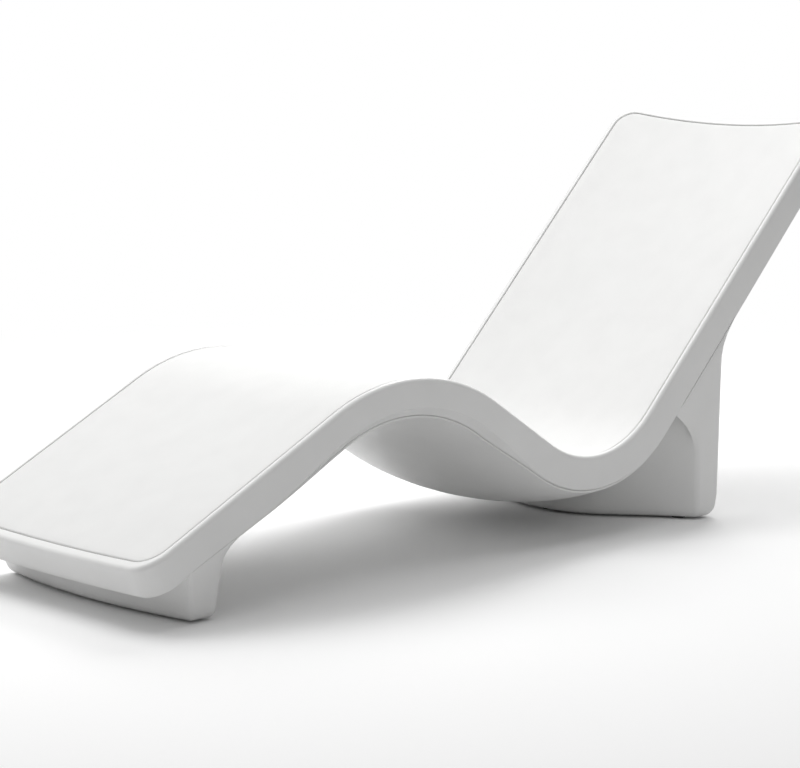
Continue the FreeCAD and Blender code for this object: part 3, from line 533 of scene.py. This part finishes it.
def birch_plywood(colours):
    """Sawn birch plywood: pale faces with long grain, and dark glue lines every 2.8 mm along x,
    which is the ribs' thickness."""
    material, tree = new_material("sawn_birch_plywood")
    coords = add(tree, "ShaderNodeTexCoord").outputs["Object"]
    plies = add(tree, "ShaderNodeTexWave", {"bands_direction": "X", "wave_profile": "SAW"},
                Vector=coords, Scale=112.0, Distortion=0.4, Detail=1.0)
    stretched = add(tree, "ShaderNodeMapping", Vector=coords, Scale=(40, 4, 40))
    grain = add(tree, "ShaderNodeTexNoise", Vector=stretched.outputs[0], Scale=6.0, Detail=8.0)
    line = add(tree, "ShaderNodeMapRange", Value=plies.outputs["Fac"], From_Min=0.82, From_Max=0.95)
    wood = add(tree, "ShaderNodeMix", {"data_type": "RGBA"}, i0=grain.outputs["Fac"],
               i6=linear(colours.plywood), i7=[v * 0.8 for v in linear(colours.plywood)[:3]] + [1])
    tone = add(tree, "ShaderNodeMix", {"data_type": "RGBA"}, i0=line.outputs[0],
               i6=wood.outputs[2], i7=linear(colours.plywood_edge))
    bump = add(tree, "ShaderNodeBump", Height=grain.outputs["Fac"], Strength=0.3, Distance=0.0005)
    shader = add(tree, "ShaderNodeBsdfPrincipled", Base_Color=tone.outputs[2], Roughness=0.75,
                 Normal=bump.outputs[0])
    output(tree, shader.outputs[0])
    return material


def turned_steel(colours):
    """Turned stainless steel: fine tool marks of 0.7 mm, and duller spots of about 10 mm."""
    material, tree = new_material("turned_stainless_steel")
    coords = add(tree, "ShaderNodeTexCoord").outputs["Object"]
    rough = roughness_range(tree, coords, 0.25, 0.4, 90.0)
    marks = add(tree, "ShaderNodeTexNoise", Vector=coords, Scale=1500.0, Detail=2.0)
    bump = add(tree, "ShaderNodeBump", Height=marks.outputs["Fac"], Strength=0.15, Distance=0.0002)
    shader = add(tree, "ShaderNodeBsdfPrincipled", Base_Color=linear(colours.steel), Metallic=1.0,
                 Roughness=rough.outputs[0], Normal=bump.outputs[0])
    output(tree, shader.outputs[0])
    return material


def moulded_rubber(colours):
    """Compression-moulded black rubber: dull, dusty in patches, with a fine grit of 0.8 mm."""
    material, tree = new_material("moulded_black_rubber")
    coords = add(tree, "ShaderNodeTexCoord").outputs["Object"]
    dust = add(tree, "ShaderNodeTexNoise", Vector=coords, Scale=130.0, Detail=5.0)
    tone = add(tree, "ShaderNodeMix", {"data_type": "RGBA"}, i0=dust.outputs["Fac"],
               i6=linear(colours.rubber), i7=linear(colours.rubber_dust))
    rough = roughness_range(tree, coords, 0.75, 0.9, 70.0)
    grit = add(tree, "ShaderNodeTexNoise", Vector=coords, Scale=1200.0, Detail=3.0)
    bump = add(tree, "ShaderNodeBump", Height=grit.outputs["Fac"], Strength=0.4, Distance=0.0003)
    shader = add(tree, "ShaderNodeBsdfPrincipled", Base_Color=tone.outputs[2],
                 Roughness=rough.outputs[0], Normal=bump.outputs[0], IOR=1.52)
    output(tree, shader.outputs[0])
    return material


def dress(nodes, material):
    """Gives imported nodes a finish, and smooth shading with crisp edges."""
    for name in nodes:
        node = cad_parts[name]
        node.data.materials.clear()
        node.data.materials.append(material)
        for face in node.data.polygons:
            face.use_smooth = True
        node.modifiers.new("joined", "WELD").merge_threshold = PACKED_WELD
        node.modifiers.new("crisp", "EDGE_SPLIT").split_angle = PACKED_CREASE
        node.modifiers.new("even", "WEIGHTED_NORMAL").weight = 100


class LOUNGER_OT_stage(bpy.types.Operator):
    """Builds the camera, floor, lamps and room light"""

    bl_idname = "lounger.stage"
    bl_label = "Studio stage"

    def execute(self, context):
        settings, colours = context.scene.lounger_stage, context.scene.lounger_colours
        scene = context.scene
        scene.view_settings.view_transform = "Standard"
        self.camera(scene, settings)
        self.floor(scene, settings, colours)
        self.lamps(scene, settings)
        self.room(scene, settings)
        return {"FINISHED"}

    def camera(self, scene, settings):
        data = bpy.data.cameras.new("camera")
        data.sensor_width = settings.sensor_mm
        data.lens = settings.focal_share * settings.sensor_mm
        data.clip_end = settings.floor_size
        camera = bpy.data.objects.new("camera", data)
        camera.location = (settings.camera_x, settings.camera_y, settings.camera_z)
        camera.rotation_euler = (math.pi / 2 - settings.dip, 0, -settings.azimuth)
        scene.collection.objects.link(camera)
        scene.camera = camera

    def floor(self, scene, settings, colours):
        bm = bmesh.new()
        bmesh.ops.create_grid(bm, x_segments=8, y_segments=8, size=settings.floor_size / 2)
        mesh = bpy.data.meshes.new("floor")
        bm.to_mesh(mesh)
        bm.free()
        floor = bpy.data.objects.new("floor", mesh)
        scene.collection.objects.link(floor)
        mesh.materials.append(self.floor_paint(settings, colours))

    def floor_paint(self, settings, colours):
        """Matte white studio paint, which fades into the white room away from the lounger; it is
        duller for the light that it throws back."""
        material, tree = new_material("matte_studio_paint")
        path = add(tree, "ShaderNodeLightPath")
        coords = add(tree, "ShaderNodeTexCoord").outputs["Object"]
        away = add(tree, "ShaderNodeVectorMath", {"operation": "LENGTH"}, i0=coords)
        fade = add(tree, "ShaderNodeMapRange", {"interpolation_type": "SMOOTHSTEP"},
                   Value=away.outputs["Value"], From_Min=settings.floor_fade_start,
                   From_Max=settings.floor_fade_end)
        seen = add(tree, "ShaderNodeMath", {"operation": "MAXIMUM"},
                   i0=path.outputs["Is Camera Ray"], i1=path.outputs["Is Glossy Ray"])
        seen = add(tree, "ShaderNodeMath", {"operation": "MAXIMUM"}, i0=seen.outputs[0],
                   i1=path.outputs["Is Transmission Ray"])
        paint = add(tree, "ShaderNodeBsdfDiffuse", Color=linear(colours.floor))
        glow = add(tree, "ShaderNodeEmission", Color=linear(colours.floor), Strength=1.0)
        both = add(tree, "ShaderNodeMixShader", i0=fade.outputs[0], i1=paint.outputs[0],
                   i2=glow.outputs[0])
        plain = add(tree, "ShaderNodeBsdfDiffuse", Color=linear(colours.floor_bounce))
        mixed = add(tree, "ShaderNodeMixShader", i0=seen.outputs[0], i1=plain.outputs[0],
                    i2=both.outputs[0])
        output(tree, mixed.outputs[0])
        return material

    def lamps(self, scene, settings):
        self.softbox(scene, "overhead", (0, 0, 4.0), 4.0, settings.overhead_watts)
        self.softbox(scene, "back", (-1.0, 2.0, 3.6), 3.0, settings.back_watts)
        self.softbox(scene, "foot_side", (-3.5, 3.0, 2.5), 2.2, settings.foot_side_watts)
        self.softbox(scene, "head_side", (3.5, 2.0, 3.5), 2.5, settings.head_side_watts)

    def softbox(self, scene, name, place, size, watts):
        data = bpy.data.lights.new(name, "AREA")
        data.size, data.energy = size, watts
        lamp = bpy.data.objects.new(name, data)
        lamp.location = place
        target = Vector((0, 0, 0.3))
        lamp.rotation_euler = (target - lamp.location).to_track_quat("-Z", "Y").to_euler()
        scene.collection.objects.link(lamp)

    def room(self, scene, settings):
        world = bpy.data.worlds.new("room")
        world.use_nodes = True
        tree = world.node_tree
        tree.nodes.clear()
        path = add(tree, "ShaderNodeLightPath")
        seen = add(tree, "ShaderNodeMath", {"operation": "MAXIMUM"},
                   i0=path.outputs["Is Camera Ray"], i1=path.outputs["Is Transmission Ray"])
        strength = add(tree, "ShaderNodeMapRange", Value=seen.outputs[0],
                       To_Min=settings.sky_strength, To_Max=1.0)
        background = add(tree, "ShaderNodeBackground", Color=(1, 1, 1, 1),
                         Strength=strength.outputs[0])
        add(tree, "ShaderNodeOutputWorld", Surface=background.outputs[0])
        scene.world = world


class LOUNGER_OT_shells(bpy.types.Operator):
    """Bends the upper and the underside shell along the rim line"""

    bl_idname = "lounger.shells"
    bl_label = "Shells"

    def execute(self, context):
        sizes = context.scene.lounger_sizes
        line = RimLine(sizes)
        finish = gelcoat(context.scene.lounger_colours)
        self.upper(sizes, line, finish)
        self.underside(sizes, line, finish)
        return {"FINISHED"}

    def upper(self, sizes, line, finish):
        bm = bmesh.new()
        bottom, chamfer = sizes.foot_seam, sizes.foot_seam - sizes.knee_ledge
        recess, under = sizes.panel_thickness, sizes.panel_thickness + sizes.wall
        flat_slab(bm, 0, line.length, line.half, sizes.corner_radius, 0, bottom)
        rounded(bm, level_face(bm, 0, 1), sizes.rim_round, 8)
        cut(bm, (0, 0, -chamfer), (0, 0, 1))
        floor = sunk(bm, level_face(bm, 0, 1), sizes.rim_width - sizes.rim_round, recess)
        wider = sizes.foot_rim_width - sizes.rim_width
        lip = {edge.other_vert(vert) for vert in floor.verts for edge in vert.link_edges
               if abs(edge.other_vert(vert).co.z) < TOUCH}
        foot_end = [vert for vert in lip | set(floor.verts)
                    if vert.co.x < sizes.corner_radius * 1.5]
        bmesh.ops.translate(bm, verts=foot_end, vec=(wider, 0, 0))
        brink = [edge for edge in bm.edges if edge.verts[0] in lip and edge.verts[1] in lip]
        bmesh.ops.bevel(bm, geom=brink, offset=sizes.groove_round, segments=3, profile=0.5,
                        affect="EDGES", material=-1)
        sunk(bm, level_face(bm, -bottom, -1), sizes.knee_ledge + sizes.flange, under - bottom)
        cut_across(bm, 0, line.length, line.half, sizes.run_cuts, sizes.side_cuts)

        def bend(run, side, height):
            depth = -height
            if depth < under + TOUCH:
                return line.place(run, side, depth + line.dish_at(run, side))
            limit = line.half - line.ledge(run)
            over = max(0, abs(side) - limit)
            if depth < bottom - TOUCH:
                return line.place(run, side, line.seam_depth(run) - over)
            return line.place(run, math.copysign(min(abs(side), limit), side), line.seam_depth(run))

        finished_piece("upper_shell_moulding", bm, bend, "upper_shell", finish)

    def underside(self, sizes, line, finish):
        bm = bmesh.new()
        inset = sizes.head_ledge + sizes.seam_step
        half, bottom = line.half - inset, 0.02
        flat_slab(bm, inset, line.length - inset, half, sizes.corner_radius - inset, 0, bottom)
        rebate = sizes.seam_bead - sizes.seam_gap
        rim = sizes.hull_rim + rebate
        rounded(bm, level_face(bm, 0, 1), sizes.lip_round, 4)
        cut(bm, (0, 0, -rim), (0, 0, 1))
        bed = sunk(bm, level_face(bm, 0, 1), sizes.edge_round, rebate)
        sunk(bm, bed, sizes.flange, bottom / 2)
        cut_across(bm, inset, line.length - inset, half, sizes.run_cuts, sizes.side_cuts)

        def bend(run, side, height):
            level = -height
            across = side / half * line.hull_half(run)
            start = line.seam_depth(run) + sizes.seam_gap
            if level < rim + TOUCH:
                return line.place(run, across, start + level)
            depth = line.hull_depth(run, across)
            if level < bottom - TOUCH:
                depth = max(start, depth - sizes.wall)
            return line.place(run, across, depth)

        finished_piece("underside_shell_moulding", bm, bend, "underside_shell",
                       finish)


def standing_block(bm, outline, height, sizes):
    """Upright block over an outline of (x, y, reach of its rounding), bottom on the zero plane."""
    corners = [bm.verts.new((x, y, 0)) for x, y, _ in outline]
    bm.faces.new(corners)
    for corner, (_, _, reach) in zip(corners, outline):
        bmesh.ops.bevel(bm, geom=[corner], offset=reach, segments=6, profile=0.5,
                        affect="VERTICES", material=-1)
    face = bm.faces[:][0]
    made = bmesh.ops.extrude_face_region(bm, geom=[face])
    verts = [item for item in made["geom"] if isinstance(item, bmesh.types.BMVert)]
    bmesh.ops.translate(bm, verts=verts, vec=(0, 0, height))
    bmesh.ops.recalc_face_normals(bm, faces=bm.faces[:])
    rounded(bm, level_face(bm, 0, -1), sizes.bottom_round, 5)
    rounded(bm, level_face(bm, height, 1), sizes.edge_round, 3)
    low_x, high_x = (pick(vert.co.x for vert in bm.verts) for pick in (min, max))
    half = max(vert.co.y for vert in bm.verts)
    cut_across(bm, low_x, high_x, half, sizes.depth_cuts, sizes.breadth_cuts)
    step = sizes.ledge + sizes.seam_step
    for turn in (-1, 1):
        for place in (step - 0.001, step + 0.001):
            cut(bm, (0, turn * (half - place), 0), (0, 1, 0))
    for count in range(1, sizes.height_cuts):
        cut(bm, (0, 0, height * count / sizes.height_cuts), (0, 0, 1))


def stretched(level, height, low, high):
    """Height of a level of the flat block between floor and shells; its ends keep their size."""
    foot, head = 0.02, 0.004
    if level < foot:
        return low + level
    if level > height - head:
        return high - (height - level)
    return low + foot + (level - foot) / (height - foot - head) * (high - low - foot - head)


def run_out(depth, reach, whole):
    """How far a face has run out at a depth under the shells."""
    steepness = 2.2
    return reach * max(0, 1 - depth / whole) ** steepness


def soft_step(value, low, high):
    """Smooth passage from 0 to 1 between two values."""
    share = min(1, max(0, (value - low) / (high - low)))
    return share * share * (3 - 2 * share)


class LOUNGER_OT_supports(bpy.types.Operator):
    """Shapes the foot and the rear leg and fits them under the shells"""

    bl_idname = "lounger.supports"
    bl_label = "Foot and rear leg"

    def execute(self, context):
        sizes = context.scene.lounger_sizes
        line = RimLine(sizes)
        finish = bpy.data.materials[GELCOAT]
        self.foot(sizes, line, finish)
        self.leg(sizes, line, finish)
        return {"FINISHED"}

    def foot(self, sizes, line, finish):
        bm = bmesh.new()
        height, half = 0.12, line.half - sizes.support_inset - sizes.foot_flare
        front = line.start_x + sizes.foot_setback
        back = front + sizes.foot_thickness
        corners = (front, -half), (back, -half), (back, half), (front, half)
        standing_block(bm, [(x, y, sizes.foot_corner) for x, y in corners], height, sizes)
        blend_start, back_lean = 0.7, 0.4

        def bend(x, side, level):
            share = (x - front) / (back - front)
            rear = soft_step(share, blend_start, 1)
            bowed = x + sizes.foot_bow * (side / half) ** 2 * (1 - share)
            flare = sizes.foot_flare
            lean = flare * ((1 + back_lean) * share - 1)
            top_x = bowed + lean + rear * sizes.foot_blend
            top = line.underside(top_x, side * (1 + flare / half)).z - sizes.seat_gap
            z = stretched(level, height, sizes.floor_gap, top)
            up = (z - sizes.floor_gap) / (top - sizes.floor_gap)
            out = rear * run_out(top - z, sizes.foot_blend, sizes.foot_blend_depth)
            return Vector((bowed + lean * up + out, side * (1 + flare * up / half), z))

        finished_piece("front_foot_moulding", bm, bend, "front_foot", finish)

    def leg(self, sizes, line, finish):
        bm = bmesh.new()
        height, half = 0.3, line.half - sizes.support_inset
        glide_margin, edge, fade = 0.015, 0.01, 0.03
        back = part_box("leg_glides")[1].x + sizes.heel_round + glide_margin
        front = back - sizes.leg_thickness
        band = back - sizes.leg_band
        right = [(front - sizes.keel_length, sizes.keel_nose, sizes.keel_round),
                 (band - sizes.root_reach, half - sizes.root_inset, sizes.root_round),
                 (band, half, sizes.leg_corner), (back, half, sizes.leg_corner)]
        outline = right + [(x, -y, reach) for x, y, reach in reversed(right)]
        standing_block(bm, outline, height, sizes)

        def bend(x, side, level):
            rear = soft_step(x, back - fade, back)
            fore = (soft_step(abs(side), half - fade, half - edge)
                    * soft_step(band + fade - x, 0, fade))
            top_x = x + rear * (sizes.leg_blend + sizes.leg_lean) - fore * sizes.leg_arch
            top = line.underside(top_x, side).z - sizes.seat_gap
            z = stretched(level, height, sizes.floor_gap, top)
            up = (z - sizes.floor_gap) / (top - sizes.floor_gap)
            heel = max(0, 1 - (z - sizes.floor_gap) / sizes.heel_round)
            out = rear * (run_out(top - z, sizes.leg_blend, sizes.leg_blend_depth)
                          + sizes.leg_lean * up
                          - sizes.heel_round * (1 - math.sqrt(1 - heel * heel)))
            out -= fore * run_out(top - z, sizes.leg_arch, sizes.leg_arch_depth)
            return Vector((x + out, side, z))

        finished_piece("rear_leg_moulding", bm, bend, "rear_leg", finish)


class LOUNGER_OT_panel(bpy.types.Operator):
    """Bends the lying panel along the rim line"""

    bl_idname = "lounger.panel"
    bl_label = "Lying panel"

    def execute(self, context):
        sizes = context.scene.lounger_sizes
        line = RimLine(sizes)
        finish = panel_gelcoat(context.scene.lounger_colours)
        inset = sizes.rim_width + sizes.groove
        start = sizes.foot_rim_width + sizes.groove
        half, thickness = line.half - inset, sizes.panel_thickness - sizes.panel_bed
        bm = bmesh.new()
        flat_slab(bm, start, line.length - inset, half, sizes.corner_radius - inset, 0, thickness)
        rounded(bm, level_face(bm, 0, 1), sizes.panel_round, 4)
        cut_across(bm, start, line.length - inset, half, sizes.run_cuts, sizes.side_cuts)

        def bend(run, side, height):
            return line.place(run, side, line.dish_at(run, side) - height)

        finished_piece("lying_panel_skin", bm, bend, "lying_panel", finish)
        return {"FINISHED"}


class LOUNGER_OT_fittings(bpy.types.Operator):
    """Finishes beads, frame, fasteners, covers and glides"""

    bl_idname = "lounger.fittings"
    bl_label = "Fittings"

    def execute(self, context):
        colours = context.scene.lounger_colours
        # The groove bead's grey is the sealant's own colour, darkened further as painted shade of
        # the groove
        dress(["panel_bead"], elastic_sealant("smoothed_grey_sealant", colours.sealant))
        dress(["seam_bead"], elastic_sealant("smoothed_white_sealant", colours.seam))
        dress(["vent_plug"], moulded_polymer("moulded_vent_polymer", colours.vent))
        dress(["foot_cover", "leg_cover"], moulded_polymer("moulded_cover_polymer", colours.cover))
        self.dress_kind(("_rib", "_rib_low", "_rib_high", "_stringer", "_backing_plate"),
                        birch_plywood(colours))
        self.dress_kind(("_bolts", "_washers", "_inserts", "_screws"), turned_steel(colours))
        dress(["foot_glides", "leg_glides"], moulded_rubber(colours))
        return {"FINISHED"}

    def dress_kind(self, endings, material):
        dress([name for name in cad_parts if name.endswith(endings)], material)


class LOUNGER_PT_panel(bpy.types.Panel):
    """Lists the steps that finish the lounger"""

    bl_idname = "LOUNGER_PT_panel"
    bl_label = "Lounger"
    bl_space_type = "VIEW_3D"
    bl_region_type = "UI"
    bl_category = "Lounger"

    def draw(self, context):
        for operator in OPERATORS:
            self.layout.operator(operator.bl_idname)


GROUPS = {"lounger_sizes": LoungerSizes, "lounger_colours": LoungerColours,
          "lounger_stage": StageSettings}
OPERATORS = (LOUNGER_OT_stage, LOUNGER_OT_shells, LOUNGER_OT_supports, LOUNGER_OT_panel,
             LOUNGER_OT_fittings)


def register():
    for group in GROUPS.values():
        bpy.utils.register_class(group)
    for cls in OPERATORS + (LOUNGER_PT_panel,):
        bpy.utils.register_class(cls)
    for name, group in GROUPS.items():
        setattr(bpy.types.Scene, name, PointerProperty(type=group))


def unregister():
    for name in GROUPS:
        delattr(bpy.types.Scene, name)
    for cls in (LOUNGER_PT_panel,) + OPERATORS + tuple(GROUPS.values()):
        bpy.utils.unregister_class(cls)


def main():
    register()
    bpy.ops.lounger.stage()
    bpy.ops.lounger.shells()
    bpy.ops.lounger.supports()
    bpy.ops.lounger.panel()
    bpy.ops.lounger.fittings()


if __name__ == "__main__":
    main()
